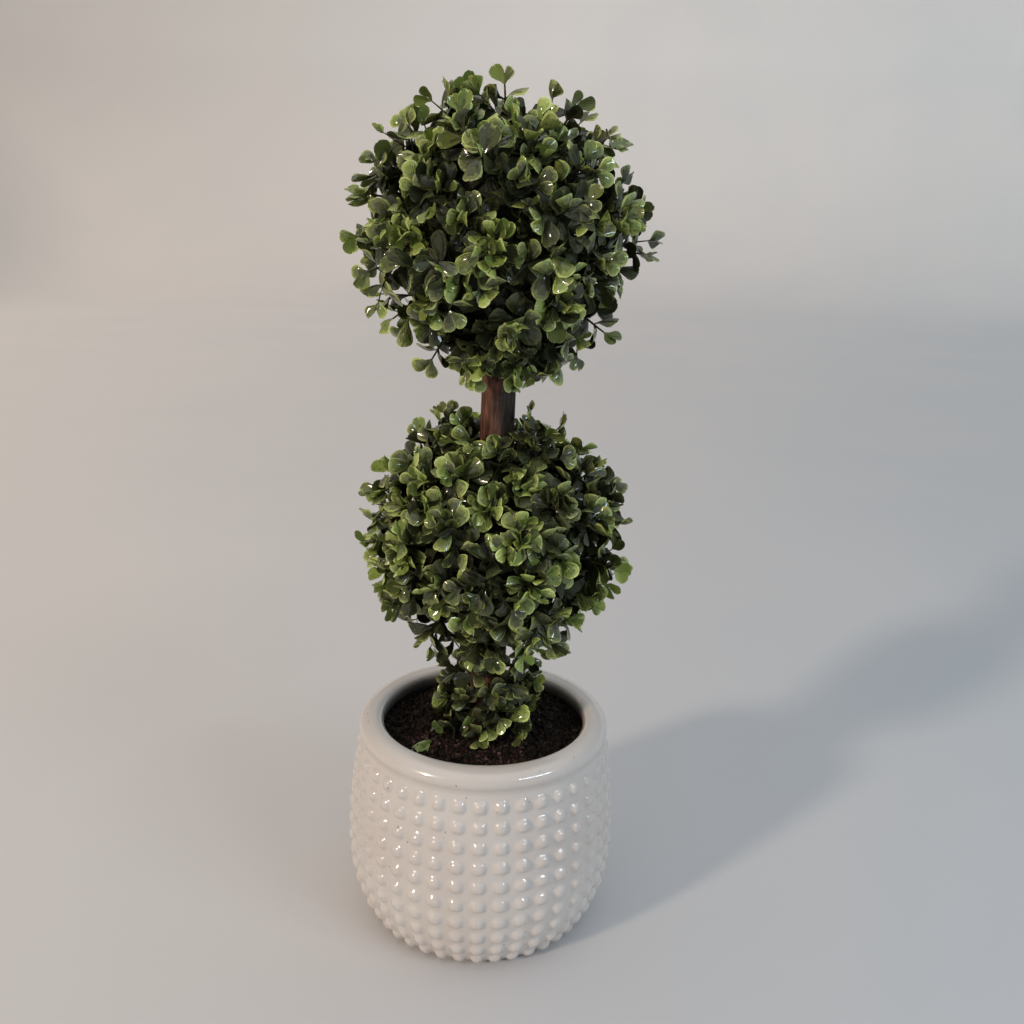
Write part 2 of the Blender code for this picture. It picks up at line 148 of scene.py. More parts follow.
# Sprays that stand out at each ball's outline: right, back and up from its centre, in mm.
UPPER_STAND_OUTS = (
    (-71, 4, -3), (-66, -8, 21), (-48, 3, 52), (-26, 0, 65), (1, -2, 69), (32, 5, 60),
    (48, -10, 46), (65, -3, 16), (69, -9, -6), (-56, 6, -44), (52, -6, -46), (-13, -28, -62),
    (12, -25, -63), (-32, -14, -60), (33, -16, -59), (-2, -36, -60), (-16, 18, -66), (18, 16, -66),
    (5, -22, -66), (-8, -21, -66), (-60, -6, 36), (-59, 12, 33),
)
LOWER_STAND_OUTS = (
    (-67, 2, -13), (-64, -8, 8), (65, 4, 8), (64, -6, -15), (54, 3, -40), (-55, -8, -40),
    (-41, 4, 52), (-16, -6, 61), (31, 5, 57), (51, -8, 39), (58, 6, 18), (-12, -30, -58),
    (13, -28, -59), (-33, -22, -53), (34, -20, -54), (0, -38, -56), (-14, 24, -60), (16, 22, -60),
    (-56, -4, 37), (-62, 3, -27), (46, 4, -49), (-47, 5, -48), (61, 5, -28), (59, -3, 30),
    (-63, -3, 22), (-30, 8, 60), (12, -4, 66),
)

# Two stalked leaves that stand out of the skirt: height of the foot, leaf's root and end in mm, age.
SKIRT_EXTRAS = (
    (106.0, (-25.5, -20.0, 104.8), (-33.0, -29.5, 104.0), 1.0),
    (112.0, (14.0, -17.0, 112.0), (23.0, -18.5, 120.0), 0.9),
)

# Each ball: name, node, seed, centre, reach, sprays, stand-outs, how far above its centre the leaves
# begin to stand back from the stem, and how much further inside the reach its plain sprays end.
NOWHERE = 1.0  # above the whole plant
BALLS = (
    ("upper", "upper_ball", 25, UPPER_CENTRE, UPPER_REACH, 70, UPPER_STAND_OUTS, NOWHERE, 1.0 * MM),
    ("lower", "lower_ball", 14, LOWER_CENTRE, LOWER_REACH, 68, LOWER_STAND_OUTS, 53.0 * MM, 2.5 * MM),
)

# Camera, from the fit to the photo's pot, and the strength of the sky at its foot and above.
CAMERA_PLACE = (0.0110, -0.4651, 0.3557)
CAMERA_PITCH = 17.0
CAMERA_ROLL = 1.84
CAMERA_LENS = 36.1
SKY_LOW = 0.19
SKY_RISE = 0.72

# Floor that curves up into a backdrop.
BOWL_RADIUS = 4.0
BOWL_CURVE = 0.8
BOWL_HEIGHT = 1.25


# --- nodes and meshes --------------------------------------------------------------------------


def new_material(name):
    material = bpy.data.materials.new(name)
    material.use_nodes = True
    return material, material.node_tree, material.node_tree.nodes["Principled BSDF"]


def add_node(tree, kind, links=(), **values):
    """One node; links are (input, output socket) pairs, values are inputs or properties."""
    node = tree.nodes.new(kind)
    for key, value in values.items():
        if hasattr(node, key):
            setattr(node, key, value)
        else:
            node.inputs[key.replace("_", " ")].default_value = value
    for name, socket in links:
        tree.links.new(socket, node.inputs[name])
    return node


def noise(tree, vector, scale, detail=4.0, roughness=0.5):
    values = {"Scale": scale, "Detail": detail, "Roughness": roughness}
    return add_node(tree, "ShaderNodeTexNoise", [("Vector", vector)], **values).outputs["Fac"]


def ramp(tree, factor, stops):
    node = add_node(tree, "ShaderNodeValToRGB", [("Fac", factor)])
    elements = node.color_ramp.elements
    while len(elements) < len(stops):
        elements.new(0.5)
    for element, (place, colour) in zip(elements, stops):
        element.position = place
        element.color = (*colour, 1.0)
    return node.outputs["Color"]


def span(tree, factor, low, high):
    node = add_node(tree, "ShaderNodeMapRange", [("Value", factor)])
    node.inputs["To Min"].default_value = low
    node.inputs["To Max"].default_value = high
    return node.outputs["Result"]


def between(tree, factor, low, high):
    """The factor as a share that is 0 at low and 1 at high."""
    node = add_node(tree, "ShaderNodeMapRange", [("Value", factor)])
    node.inputs["From Min"].default_value = low
    node.inputs["From Max"].default_value = high
    return node.outputs["Result"]


def maths(tree, operation, *values):
    """A sum of sockets and plain numbers."""
    node = add_node(tree, "ShaderNodeMath", operation=operation)
    for place, value in enumerate(values):
        if isinstance(value, float):
            node.inputs[place].default_value = value
        else:
            tree.links.new(value, node.inputs[place])
    return node.outputs[0]


def mixed(tree, factor, first, second):
    """Two colours mixed by a factor; the first may be a plain one."""
    node = add_node(tree, "ShaderNodeMix", [("Factor", factor)], data_type="RGBA")
    if isinstance(first, tuple):
        node.inputs[6].default_value = (*first, 1.0)
    else:
        tree.links.new(first, node.inputs[6])
    tree.links.new(second, node.inputs[7])
    return node.outputs[2]


def bump(tree, height, strength, distance):
    node = add_node(tree, "ShaderNodeBump", [("Height", height)])
    node.inputs["Strength"].default_value = strength
    node.inputs["Distance"].default_value = distance
    return node.outputs["Normal"]


def piece(name, points, faces, materials, node, chosen=None, smooth=True):
    """A mesh piece that stands for a CAD node."""
    mesh = bpy.data.meshes.new(name)
    mesh.from_pydata(np.asarray(points, float).tolist(), [], faces)
    for material in materials:
        mesh.materials.append(material)
    if chosen is not None:
        mesh.polygons.foreach_set("material_index", np.asarray(chosen, np.int32))
    mesh.polygons.foreach_set("use_smooth", [smooth] * len(mesh.polygons))
    mesh.update()
    thing = bpy.data.objects.new(name, mesh)
    bpy.context.scene.collection.objects.link(thing)
    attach(thing, "root")
    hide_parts(node)
    return thing


def tube_faces(rows, sides, first=0, closed=True):
    """Quads between rows of a tube's points, with end caps if closed."""
    faces = []
    for row in range(rows - 1):
        for k in range(sides):
            near = first + row * sides + k
            far = first + row * sides + (k + 1) % sides
            faces.append((near, far, far + sides, near + sides))
    if closed:
        faces.append(tuple(first + k for k in range(sides))[::-1])
        last = first + (rows - 1) * sides
        faces.append(tuple(last + k for k in range(sides)))
    return faces


# --- pot ---------------------------------------------------------------------------------------


def wall_radius(height):
    if height > BELLY_HEIGHT:
        share = (height - BELLY_HEIGHT) / (SHOULDER_HEIGHT - BELLY_HEIGHT)
        return BELLY_RADIUS - (BELLY_RADIUS - SHOULDER_RADIUS) * share**2
    drop = (BELLY_HEIGHT - height) / TUCK_HEIGHT
    return BELLY_RADIUS - TUCK_DEPTH * (1.0 - math.sqrt(1.0 - drop**2))


def wall_levels(count):
    """Heights evenly spaced along the wall from the foot to the shoulder."""
    heights = np.linspace(FOOT_HEIGHT, STUD_TOP, 2000)
    radii = np.array([wall_radius(z) for z in heights])
    lengths = np.concatenate([[0.0], np.cumsum(np.hypot(np.diff(heights), np.diff(radii)))])
    return np.interp(np.linspace(0.0, lengths[-1], count + 1), lengths, heights)


def arc(centre_r, centre_z, half_width, half_height, start, end, steps):
    turns = np.radians(np.linspace(start, end, steps + 1))
    return [(centre_r + half_width * math.cos(t), centre_z + half_height * math.sin(t)) for t in turns]


def stud_height(across, up, row_share):
    """Height of the glazed stud at places from -1 to 1 across its cell; lower rows are squarer."""
    power = 3.0 - 0.3 * row_share
    wide = 0.71 - 0.07 * row_share
    tall = 0.75 - 0.10 * row_share
    away = ((np.abs(across) / wide) ** power + (np.abs(up) / tall) ** power) ** (1.0 / power)
    inner = np.clip(1.0 - away**2.2, 0.0, 1.0)
    foot = np.clip(1.3 - away, 0.0, 1.0) ** 2
    return np.clip(inner**0.76 * 0.98 + foot * 0.08, 0.0, 1.0)


def groove_points():
    """The soft groove from the wall up to the lip."""
    turn = math.radians(GROOVE_TURN)
    start = Vector((wall_radius(GROOVE_FOOT), GROOVE_FOOT))
    end = Vector((
        LIP_CREST_RADIUS + (LIP_RADIUS - LIP_CREST_RADIUS) * math.cos(turn),
        LIP_BULGE_HEIGHT - (LIP_TOP - LIP_BULGE_HEIGHT) * math.sin(turn),
    ))
    low = Vector((wall_radius(GROOVE_HEIGHT) - GROOVE_DEPTH, GROOVE_HEIGHT))
    found = []
    for k in range(9):
        t = k / 9
        point = start * (1.0 - t) ** 2 + low * 2.0 * t * (1.0 - t) + end * t * t
        found.append((point.x, point.y))
    return found


def make_pot(glaze, inner):
    sides = STUD_COLUMNS * STUD_STEPS
    turns = (np.arange(sides) + 0.5) * math.tau / sides
    columns = turns * STUD_COLUMNS / math.tau - STUD_TURN
    across = 2.0 * (columns - np.floor(columns)) - 1.0
    rows = STUD_ROWS * STUD_STEPS
    heights = wall_levels(rows)
    rng = np.random.default_rng(3)
    uneven = rng.uniform(0.93, 1.07, (STUD_ROWS + 1, STUD_COLUMNS))
    rings = []
    for height in (0.0, 0.25 * MM, 0.9 * MM):
        rings.append((np.full(sides, FOOT_RADIUS - FOOT_BEVEL + height), np.full(sides, height)))
    for k, z in enumerate(heights):
        radius = wall_radius(z)
        step = 0.2 * MM
        low, high = max(z - step, FOOT_HEIGHT), min(z + step, SHOULDER_HEIGHT)
        rise, run = high - low, wall_radius(high) - wall_radius(low)
        length = math.hypot(rise, run)
        place = k / STUD_STEPS
        row = min(int(place), STUD_ROWS - 1)
        up = 2.0 * (place - row) - 1.0
        share = (row + 0.5) / STUD_ROWS
        grow = STUD_HEIGHT * uneven[row, np.floor(columns).astype(int) % STUD_COLUMNS]
        lift = stud_height(across, up, share) * grow
        if z < GROOVE_FOOT:
            rings.append((radius + lift * rise / length, z - lift * run / length))
    lip = groove_points()
    bulge = (LIP_RADIUS - LIP_CREST_RADIUS, LIP_TOP - LIP_BULGE_HEIGHT)
    edge = (LIP_CREST_RADIUS - OPENING_RADIUS, LIP_TOP - LIP_EDGE_HEIGHT)
    lip += arc(LIP_CREST_RADIUS, LIP_BULGE_HEIGHT, *bulge, -GROOVE_TURN, 90.0, 20)
    lip += arc(LIP_CREST_RADIUS, LIP_EDGE_HEIGHT, *edge, 90.0, 180.0, 10)[1:]
    lip += [(OPENING_RADIUS + 0.1 * MM, LIP_UNDERCUT_HEIGHT), (OPENING_RADIUS + 1.4 * MM, 99.0 * MM)]
    for z in INNER_LEVELS:
        lip.append((wall_radius(z * MM) - WALL, z * MM))
    lip.append((wall_radius(FLOOR_THICKNESS) - WALL - 3.0 * MM, FLOOR_THICKNESS))
    for radius, z in lip:
        rings.append((np.full(sides, radius), np.full(sides, z)))
    points = np.concatenate(
        [np.stack([r * np.cos(turns), r * np.sin(turns), z], axis=1) for r, z in rings]
    )
    faces = tube_faces(len(rings), sides)
    inside = (len(rings) - 1 - INNER_RINGS) * sides
    chosen = [0] * inside + [1] * (len(faces) - 2 - inside) + [0, 1]
    return piece("hobnail_pot", points, faces, [glaze, inner], "pot", chosen)


def glaze_material():
    material, tree, shader = new_material("white_glaze")
    place = add_node(tree, "ShaderNodeTexCoord").outputs["Object"]
    cloud = noise(tree, place, 22.0, 3.0)
    colour = ramp(tree, cloud, [(0.3, (0.62, 0.565, 0.52)), (0.7, (0.67, 0.635, 0.60))])
    # Small brownish specks, most of them hidden by a second slow noise.
    specks = add_node(tree, "ShaderNodeTexVoronoi", [("Vector", place)], Scale=140.0)
    spots = between(tree, specks.outputs["Distance"], 0.05, 0.09)
    spotted = mixed(tree, spots, (0.36, 0.31, 0.26), colour)
    rare = span(tree, noise(tree, place, 60.0), -1.9, 3.3)
    tree.links.new(mixed(tree, rare, colour, spotted), shader.inputs["Base Color"])
    tree.links.new(span(tree, noise(tree, place, 90.0, 2.0), 0.16, 0.3), shader.inputs["Roughness"])
    ripple = noise(tree, place, 150.0, 2.0)
    tree.links.new(bump(tree, ripple, 0.16, 0.4 * MM), shader.inputs["Normal"])
    shader.inputs["Coat Weight"].default_value = 1.0
    shader.inputs["Coat IOR"].default_value = 1.62
    shader.inputs["Coat Roughness"].default_value = 0.045
    return material


def inner_material():
    """The pot's inner side, darker towards the soil: partly soil dust, partly painted shade down inside the
    pot.
    """
    material, tree, shader = new_material("inner_glaze_painted_shade")
    place = add_node(tree, "ShaderNodeTexCoord").outputs["Object"]
    height = add_node(tree, "ShaderNodeSeparateXYZ", [("Vector", place)]).outputs["Z"]
    level = between(tree, height, SOIL_EDGE_HEIGHT, LIP_TOP)
    uneven = span(tree, noise(tree, place, 90.0), -0.25, 0.25)
    colour = ramp(
        tree,
        maths(tree, "ADD", uneven, level),
        [(0.1, (0.055, 0.048, 0.043)), (0.5, (0.17, 0.155, 0.14)), (0.9, (0.52, 0.49, 0.455))],
    )
    tree.links.new(colour, shader.inputs["Base Color"])
    tree.links.new(span(tree, noise(tree, place, 90.0, 2.0), 0.2, 0.45), shader.inputs["Roughness"])
    tree.links.new(bump(tree, noise(tree, place, 400.0), 0.2, 0.3 * MM), shader.inputs["Normal"])
    return material


# --- soil --------------------------------------------------------------------------------------


def soil_height(x, y):
    away = np.hypot(x, y)
    return np.interp(
        away,
        [0.0, SOIL_SEAT_RADIUS, SOIL_SLOPE_RADIUS, OPENING_RADIUS],
        [SOIL_TOP, SOIL_TOP, SOIL_EDGE_HEIGHT + SOIL_SLOPE_RISE, SOIL_EDGE_HEIGHT],
    )


def soil_material(name, dark, middle, light):
    material, tree, shader = new_material(name)
    place = add_node(tree, "ShaderNodeTexCoord").outputs["Object"]
    grains = add_node(tree, "ShaderNodeTexVoronoi", [("Vector", place)], Scale=420.0)
    colour = ramp(tree, grains.outputs["Color"], [(0.1, dark), (0.6, middle), (0.97, light)])
    tree.links.new(colour, shader.inputs["Base Color"])
    tree.links.new(span(tree, noise(tree, place, 300.0), 0.6, 1.0), shader.inputs["Roughness"])
    shader.inputs["Specular IOR Level"].default_value = 0.12
    lumps = noise(tree, place, 500.0, 6.0, 0.7)
    tree.links.new(bump(tree, lumps, 0.8, 1.0 * MM), shader.inputs["Normal"])
    return material


def crumb_template(rng):
    """A rough little lump: an icosahedron with its corners moved."""
    golden = (1.0 + math.sqrt(5.0)) / 2.0
    corners = []
    for a in (-1.0, 1.0):
        for b in (-golden, golden):
            corners += [(0.0, a, b), (a, b, 0.0), (b, 0.0, a)]
    corners = np.array(corners) / math.hypot(1.0, golden)
    faces = []
    side = 2.0 / math.hypot(1.0, golden) * 1.01
    for i in range(12):
        for j in range(i + 1, 12):
            for k in range(j + 1, 12):
                trio = corners[[i, j, k]]
                gaps = np.linalg.norm(trio - np.roll(trio, 1, axis=0), axis=1)
                if gaps.max() < side:
                    normal = np.cross(trio[1] - trio[0], trio[2] - trio[0])
                    faces.append((i, j, k) if normal @ trio.mean(axis=0) > 0.0 else (i, k, j))
    return corners * rng.uniform(0.7, 1.25, (12, 1)), np.array(faces)


def make_soil(peat, peat_red):
    rng = np.random.default_rng(11)
    sides, levels = 160, 60
    points, faces = [(0.0, 0.0, SOIL_TOP)], []
    for level in range(1, levels + 1):
        away = SOIL_BED_RADIUS * level / levels
        for k in range(sides):
            turn = math.tau * k / sides
            x, y = away * math.cos(turn), away * math.sin(turn)
            points.append((x, y, float(soil_height(x, y)) + rng.uniform(-0.9, 0.5) * MM))
    for k in range(sides):
        faces.append((0, 1 + k, 1 + (k + 1) % sides))
    for level in range(levels - 1):
        near, far = 1 + level * sides, 1 + (level + 1) * sides
        faces += [(near + k, far + k, far + (k + 1) % sides, near + (k + 1) % sides) for k in range(sides)]
    bottom = len(points)
    for k in range(sides):
        turn = math.tau * k / sides
        x, y = SOIL_BED_RADIUS * math.cos(turn), SOIL_BED_RADIUS * math.sin(turn)
        points.append((x, y, SOIL_BED_BOTTOM))
    edge = 1 + (levels - 1) * sides
    for k in range(sides):
        faces.append((edge + k, bottom + k, bottom + (k + 1) % sides, edge + (k + 1) % sides))
    faces.append(tuple(bottom + k for k in range(sides))[::-1])
    piece("soil_bed", points, faces, [peat], "soil", smooth=False)
    # Name, material, number, least and largest size in mm, and how far round they spread.
    for name, material, count, low, high, spread in (
        ("soil_crumbs_dark", peat, 2600, 0.5, 1.5, math.pi),
        ("soil_crumbs_red", peat_red, 1900, 0.4, 1.05, 1.0),
    ):
        points, faces = [], []
        templates = [crumb_template(rng) for _ in range(8)]
        for number in range(count):
            shape, corners = templates[number % len(templates)]
            turn = rng.uniform(-1.0, 1.0) * spread + RED_CRUMBS_TURN
            if number % 6 == 0:  # a few of them lie anywhere
                turn = rng.uniform(0.0, math.tau)
            away = CRUMB_RADIUS * math.sqrt(rng.uniform(0.0, 1.0))
            x, y = away * math.cos(turn), away * math.sin(turn)
            size = rng.uniform(low, high) ** 1.4 * MM
            spin = np.array(Euler(rng.uniform(0.0, math.tau, 3)).to_matrix())
            flat = np.array([1.0, 1.0, rng.uniform(0.5, 0.9)])
            sat = np.array([x, y, float(soil_height(x, y)) + size * rng.uniform(-0.1, 0.45)])
            faces.append(corners + 12 * number)
            points.append((shape * flat) @ spin.T * size + sat)
        faces = np.concatenate(faces).tolist()
        piece(name, np.concatenate(points), faces, [material], "soil", smooth=False)


# --- stem --------------------------------------------------------------------------------------


def stem_foot():
    return SOIL_TOP + GAP


def stem_centre(height):
    knots = ((stem_foot(), STEM_FOOT_X), (STEM_WAIST_Z, STEM_WAIST_X), (STEM_TIP_Z, STEM_TIP_X))
    total = 0.0
    for z_a, x_a in knots:
        share = 1.0
        for z_b, _ in knots:
            if z_b != z_a:
                share *= (height - z_b) / (z_a - z_b)
        total += x_a * share
    return total


def stem_radius(height):
    share = (height - stem_foot()) / (STEM_TIP_Z - stem_foot())
    return STEM_FOOT_RADIUS + (STEM_TIP_RADIUS - STEM_FOOT_RADIUS) * share


def near_stem(point, clearance):
    if not stem_foot() - clearance < point.z < STEM_TIP_Z + clearance:
        return False
    away = math.hypot(point.x - stem_centre(point.z), point.y)
    return away < stem_radius(point.z) * (1.0 + STEM_LOBE_DEPTH) + clearance


def make_trunk(bark):
    """The stem with long bark ridges and cracks between them."""
    sides, rows = 84, 300
    rng = np.random.default_rng(5)
    turns = np.arange(sides) * math.tau / sides
    waves = [(rng.integers(5, 26), rng.uniform(0.0, math.tau), rng.uniform(-30.0, 30.0)) for _ in range(12)]
    points = []
    for row in range(rows):
        z = stem_foot() + (STEM_TIP_Z - stem_foot()) * row / (rows - 1)
        base = stem_radius(z) * (1.0 + STEM_LOBE_DEPTH * np.cos(STEM_LOBES * turns))
        relief = np.zeros(sides)
        for count, start, slant in waves:
            phase = start + slant * z + 1.3 * math.sin(z * 90.0 + start)
            ridge = np.abs(np.sin(0.5 * (count * turns) + phase))
            relief += (ridge**0.6 - 0.7) * (6.0 / count) ** 0.5
        # One deep crack runs down the front, as the real stem has.
        crack = np.angle(np.exp(1j * (turns + math.pi * 0.47 + 0.25 * math.sin(z * 55.0))))
        relief = relief * 0.16 - 1.5 * np.exp(-((crack / 0.10) ** 2)) * (0.75 + 0.25 * math.sin(z * 160.0))
        radius = base + np.clip(relief, -1.6, 0.6) * 0.55 * MM - 0.25 * MM
        x, y = stem_centre(z) + radius * np.cos(turns), radius * np.sin(turns)
        points.append(np.stack([x, y, np.full(sides, z)], axis=1))
    faces = tube_faces(rows, sides)
    return piece("bark_stem", np.concatenate(points), faces, [bark], "trunk")


def bark_material():
    material, tree, shader = new_material("brown_bark")
    place = add_node(tree, "ShaderNodeTexCoord").outputs["Object"]
    stretch = add_node(tree, "ShaderNodeMapping", [("Vector", place)])
    stretch.inputs["Scale"].default_value = (1.0, 1.0, 0.16)
    grain = noise(tree, stretch.outputs["Vector"], 420.0, 6.0, 0.65)
    broad = noise(tree, place, 46.0, 2.0)
    brown = ramp(
        tree,
        grain,
        [(0.34, (0.022, 0.009, 0.006)), (0.52, (0.118, 0.048, 0.031)), (0.72, (0.245, 0.118, 0.080))],
    )
    shaded_grey_bark = ramp(
        tree,
        grain,
        [(0.3, (0.012, 0.009, 0.008)), (0.55, (0.056, 0.042, 0.034)), (0.78, (0.15, 0.120, 0.10))],
    )
    # The bark is browner and lighter to the left, towards the warm lamp, and greyer and darker to the
    # right: painted light and painted shade, broken up in blotches.
    aside = add_node(tree, "ShaderNodeSeparateXYZ", [("Vector", place)]).outputs["X"]
    painted_shade_and_blotches = maths(tree, "ADD", maths(tree, "MULTIPLY_ADD", aside, 60.0, -0.25), broad)
    tree.links.new(mixed(tree, between(tree, painted_shade_and_blotches, 0.35, 0.7), brown, shaded_grey_bark), shader.inputs["Base Color"])
    tree.links.new(span(tree, grain, 0.85, 0.55), shader.inputs["Roughness"])
    shader.inputs["Specular IOR Level"].default_value = 0.25
    tree.links.new(bump(tree, grain, 0.9, 0.8 * MM), shader.inputs["Normal"])
    return material


# --- leaves ------------------------------------------------------------------------------------

# Places along a leaf and its half width there, from the stalk to the blunt tip.
OUTLINE = (
    (0.0, 0.10),
    (0.11, 0.14),
    (0.24, 0.38),
    (0.40, 0.70),
    (0.56, 0.92),
    (0.71, 0.99),
    (0.85, 0.86),
    (0.95, 0.56),
    (1.0, 0.22),
)
ACROSS = (-1.0, -0.82, -0.45, 0.0, 0.45, 0.82, 1.0)
# Zones of a leaf by stretch, from the stalk up, for the edge, middle and inner strips:
# 0 blade, 1 rim, 2 heart, 3 outer blade.
ZONES = ("022", "222", "302", "102", "100", "130", "133", "111")


def leaf_template(cup, fold, droop, notch, twist, bulge, fine=True):
    """Points, faces, zones and places of one leaf, in units of its length, width and length."""

    def rise(x, y):
        lift = cup * x * x + fold * abs(x)
        crown = bulge * math.sin(math.pi * y) * (1.0 - x * x)
        return lift * math.sin(math.pi * min(1.0, 0.12 + y * 0.66)) - droop * y * y + twist * x * y + crown

    points, faces, zones, places = [], [], [], []

    def sheet(outline, across, thick):
        first = len(points)
        for y, wide in outline:
            for x in across:
                back = notch * (1.0 - abs(x)) if y > 0.9 else 0.0
                drop = thick * (1.0 - abs(x))
                points.append((x * wide * 0.5, y - back, rise(x * wide, y) - drop))
                places.append((x * wide, y, 0.0))
        count = len(across)
        for row in range(len(outline) - 1):
            for k in range(count - 1):
                near = first + row * count + k
                corners = (near, near + 1, near + 1 + count, near + count)
                faces.append(corners[::-1] if thick else corners)
                strip = min(k, count - 2 - k)
                zones.append(int(ZONES[row][strip]) if count == len(ACROSS) else 0)

    if fine:
        sheet(OUTLINE, ACROSS, 0.0)
    else:
        sheet(OUTLINE[::2], ACROSS[::3], 0.0)
    sheet(OUTLINE[::2], ACROSS[::3], 0.03)
    return np.array(points), np.array(faces), np.array(zones), np.array(places)


# Least and greatest cup, droop and bulge of the leaves' two moulded kinds.
ARCHED = ((-0.24, -0.10), (0.0, 0.20), (0.06, 0.18))
SPOONED = ((0.12, 0.26), (-0.14, 0.06), (-0.15, -0.04))


def make_templates(rng, sizes, fine=True):
    """Leaves of both moulded kinds: arched with a hanging tip, and spooned with a lifted one."""
    made = []
    for number in range(sizes):
        cup, droop, bulge = (rng.uniform(*ends) for ends in (ARCHED if number % 5 < 3 else SPOONED))
        notch = rng.choice((0.0, 0.0, 0.02, 0.05))
        fold, twist = rng.uniform(0.0, 0.10), rng.uniform(-0.10, 0.10)
        made.append(leaf_template(cup, fold, droop, notch, twist, bulge, fine))
    return made


def leaf_piece(name, leaves, templates, materials, node):
    """Joins leaves, each (root, along, up, length, width), into one piece."""
    points, faces, zones, places, start = [], [], [], [], 0
    for number, (root, along, up, length, width) in enumerate(leaves):
        shape, corners, zone, place = templates[number % len(templates)]
        across = along.cross(up).normalized()
        axes = np.array([across * width, along * length, up * length])
        points.append(shape @ axes + np.array(root))
        faces.append(corners + start)
        zones.append(zone)
        places.append(place)
        start += len(shape)
    faces = np.concatenate(faces).tolist()
    chosen = np.minimum(np.concatenate(zones), len(materials) - 1)
    made = piece(name, np.concatenate(points), faces, materials, node, chosen)
    layer = made.data.attributes.new("leaf_place", "FLOAT_VECTOR", "POINT")
    layer.data.foreach_set("vector", np.concatenate(places).ravel())
    return made


def any_normal(direction):
    other = Vector((0.0, 0.0, 1.0)) if abs(direction.z) < 0.9 else Vector((1.0, 0.0, 0.0))
    return direction.cross(other).normalized()


def twig_points(path, radius, taper, sides):
    rows = []
    for k, place in enumerate(path):
        ahead = (path[min(k + 1, len(path) - 1)] - path[max(k - 1, 0)]).normalized()
        side = any_normal(ahead)
        other = ahead.cross(side)
        size = radius * (1.0 - (1.0 - taper) * k / (len(path) - 1))
        for n in range(sides):
            turn = math.tau * n / sides
            rows.append(place + (side * math.cos(turn) + other * math.sin(turn)) * size)
    return rows


def bend_path(rng, base, heading, length, sink, bend=(0.05, 0.25), steps=6):
    side = any_normal(heading)
    other = heading.cross(side)
    lean = rng.uniform(0.0, math.tau)
    swing = (side * math.cos(lean) + other * math.sin(lean)) * length * rng.uniform(*bend)
    path = [base - heading * sink]
    shares = [k / steps for k in range(1, steps + 1)]
    return path + [base + heading * length * t + swing * t * t for t in shares]


def on_path(path, share):
    place = share * (len(path) - 1)
    stretch = min(int(place), len(path) - 2)
    return path[stretch].lerp(path[stretch + 1], place - stretch)


def path_heading(path, share):
    place = min(int(share * (len(path) - 1)), len(path) - 2)
    return (path[place + 1] - path[place]).normalized()


def sprig_leaves(rng, path, pairs, first, size, young, radial):
    """Opposite pairs of leaves along a twig, each a quarter turn on; the tip is one flat fresh pair."""
    leaves = []
    spin = rng.uniform(0.0, math.tau)
    for pair in range(pairs):
        share = pair / max(1, pairs - 1)
        place = first + (0.98 - first) * share
        root, heading = on_path(path, place), path_heading(path, place)
        last = pair == pairs - 1
        if last:
            face = radial - heading * radial.dot(heading)
            side = heading.cross(face).normalized() if face.length > 0.05 else any_normal(heading)
            spin = rng.uniform(-0.7, 0.7)
        else:
            side = any_normal(heading)
        other = heading.cross(side)
        for half in range(2):
            uneven = rng.uniform(-14.0, 14.0) * (0.5 if last else 1.0)
            spread = math.radians((27.0 if last else 66.0 - 14.0 * share) + uneven)
            turn = spin + math.pi * half + rng.uniform(-0.3, 0.3) * (0.0 if last else 1.0)
            out = side * math.cos(turn) + other * math.sin(turn)
            along = heading * math.cos(spread) + out * math.sin(spread)
            if last:
                up = heading.cross(out) * (1.0 if half else -1.0)
                if up.dot(radial) < 0.0:
                    up = -up
                roll = rng.uniform(-0.25, 0.25)
            else:
                up = heading * math.sin(spread) - out * math.cos(spread)
                roll = rng.uniform(-0.5, 0.5)
            up = up * math.cos(roll) + along.cross(up) * math.sin(roll)
            scale = size * rng.uniform(0.80, 1.10) * (0.66 if last else 1.0 - 0.12 * share)
            width = scale * rng.uniform(0.88, 1.1) * (1.12 if last else 1.0)
            # Leaves nearer a twig's base lie deeper in the ball and get a lower age, so darker colours:
            # partly the plastic's older colour, partly painted shade.
            age = 1.1 * share - 0.25 + rng.uniform(-0.28, 0.28) + young
            leaves.append((root, along, up, LEAF_LENGTH * scale, LEAF_WIDTH * width, age))
        spin += math.pi * 0.5
    return leaves


def headings(rng, count, jitter):
    for number in range(count):
        level = 1.0 - 2.0 * (number + 0.5) / count
        across = math.sqrt(1.0 - level * level)
        turn = GOLDEN_TURN * number
        heading = Vector((across * math.cos(turn), across * math.sin(turn), level))
        offset = Vector([rng.uniform(-1.0, 1.0) for _ in range(3)]) * jitter
        yield (heading + offset).normalized()


def leaf_tip(leaf):
    return leaf[0] + leaf[1] * leaf[3]


def fit_leaves(leaves, allowed):
    """The leaves whose middle and tip are allowed, made smaller where that is enough."""
    kept = []
    for root, along, up, length, width, age in leaves:
        for size in RETRY_SIZES:
            if allowed(root + along * length * size) and allowed(root + along * length * size * 0.6):
                kept.append((root, along, up, length * size, width * size, age))
                break
    return kept


def cut_twig(path, leaves):
    """The twig as far as its outermost leaf, so that no bare end sticks out."""
    end = max((leaf[0] for leaf in leaves), key=lambda root: (root - path[0]).length)
    length = (end - path[0]).length
    return [point for point in path if (point - path[0]).length < length - 0.2 * MM] + [end]


def clear_heading(centre, heading, radius, clearance):
    """The heading, turned away from the stem until a place at that radius is clear of it."""
    while near_stem(centre + heading * radius, clearance):
        level = Vector((heading.x, heading.y, 0.0))
        level = level.normalized() if level.length > 1e-4 else Vector((1.0, 0.0, 0.0))
        heading = (heading + level * 0.05).normalized()
    return heading


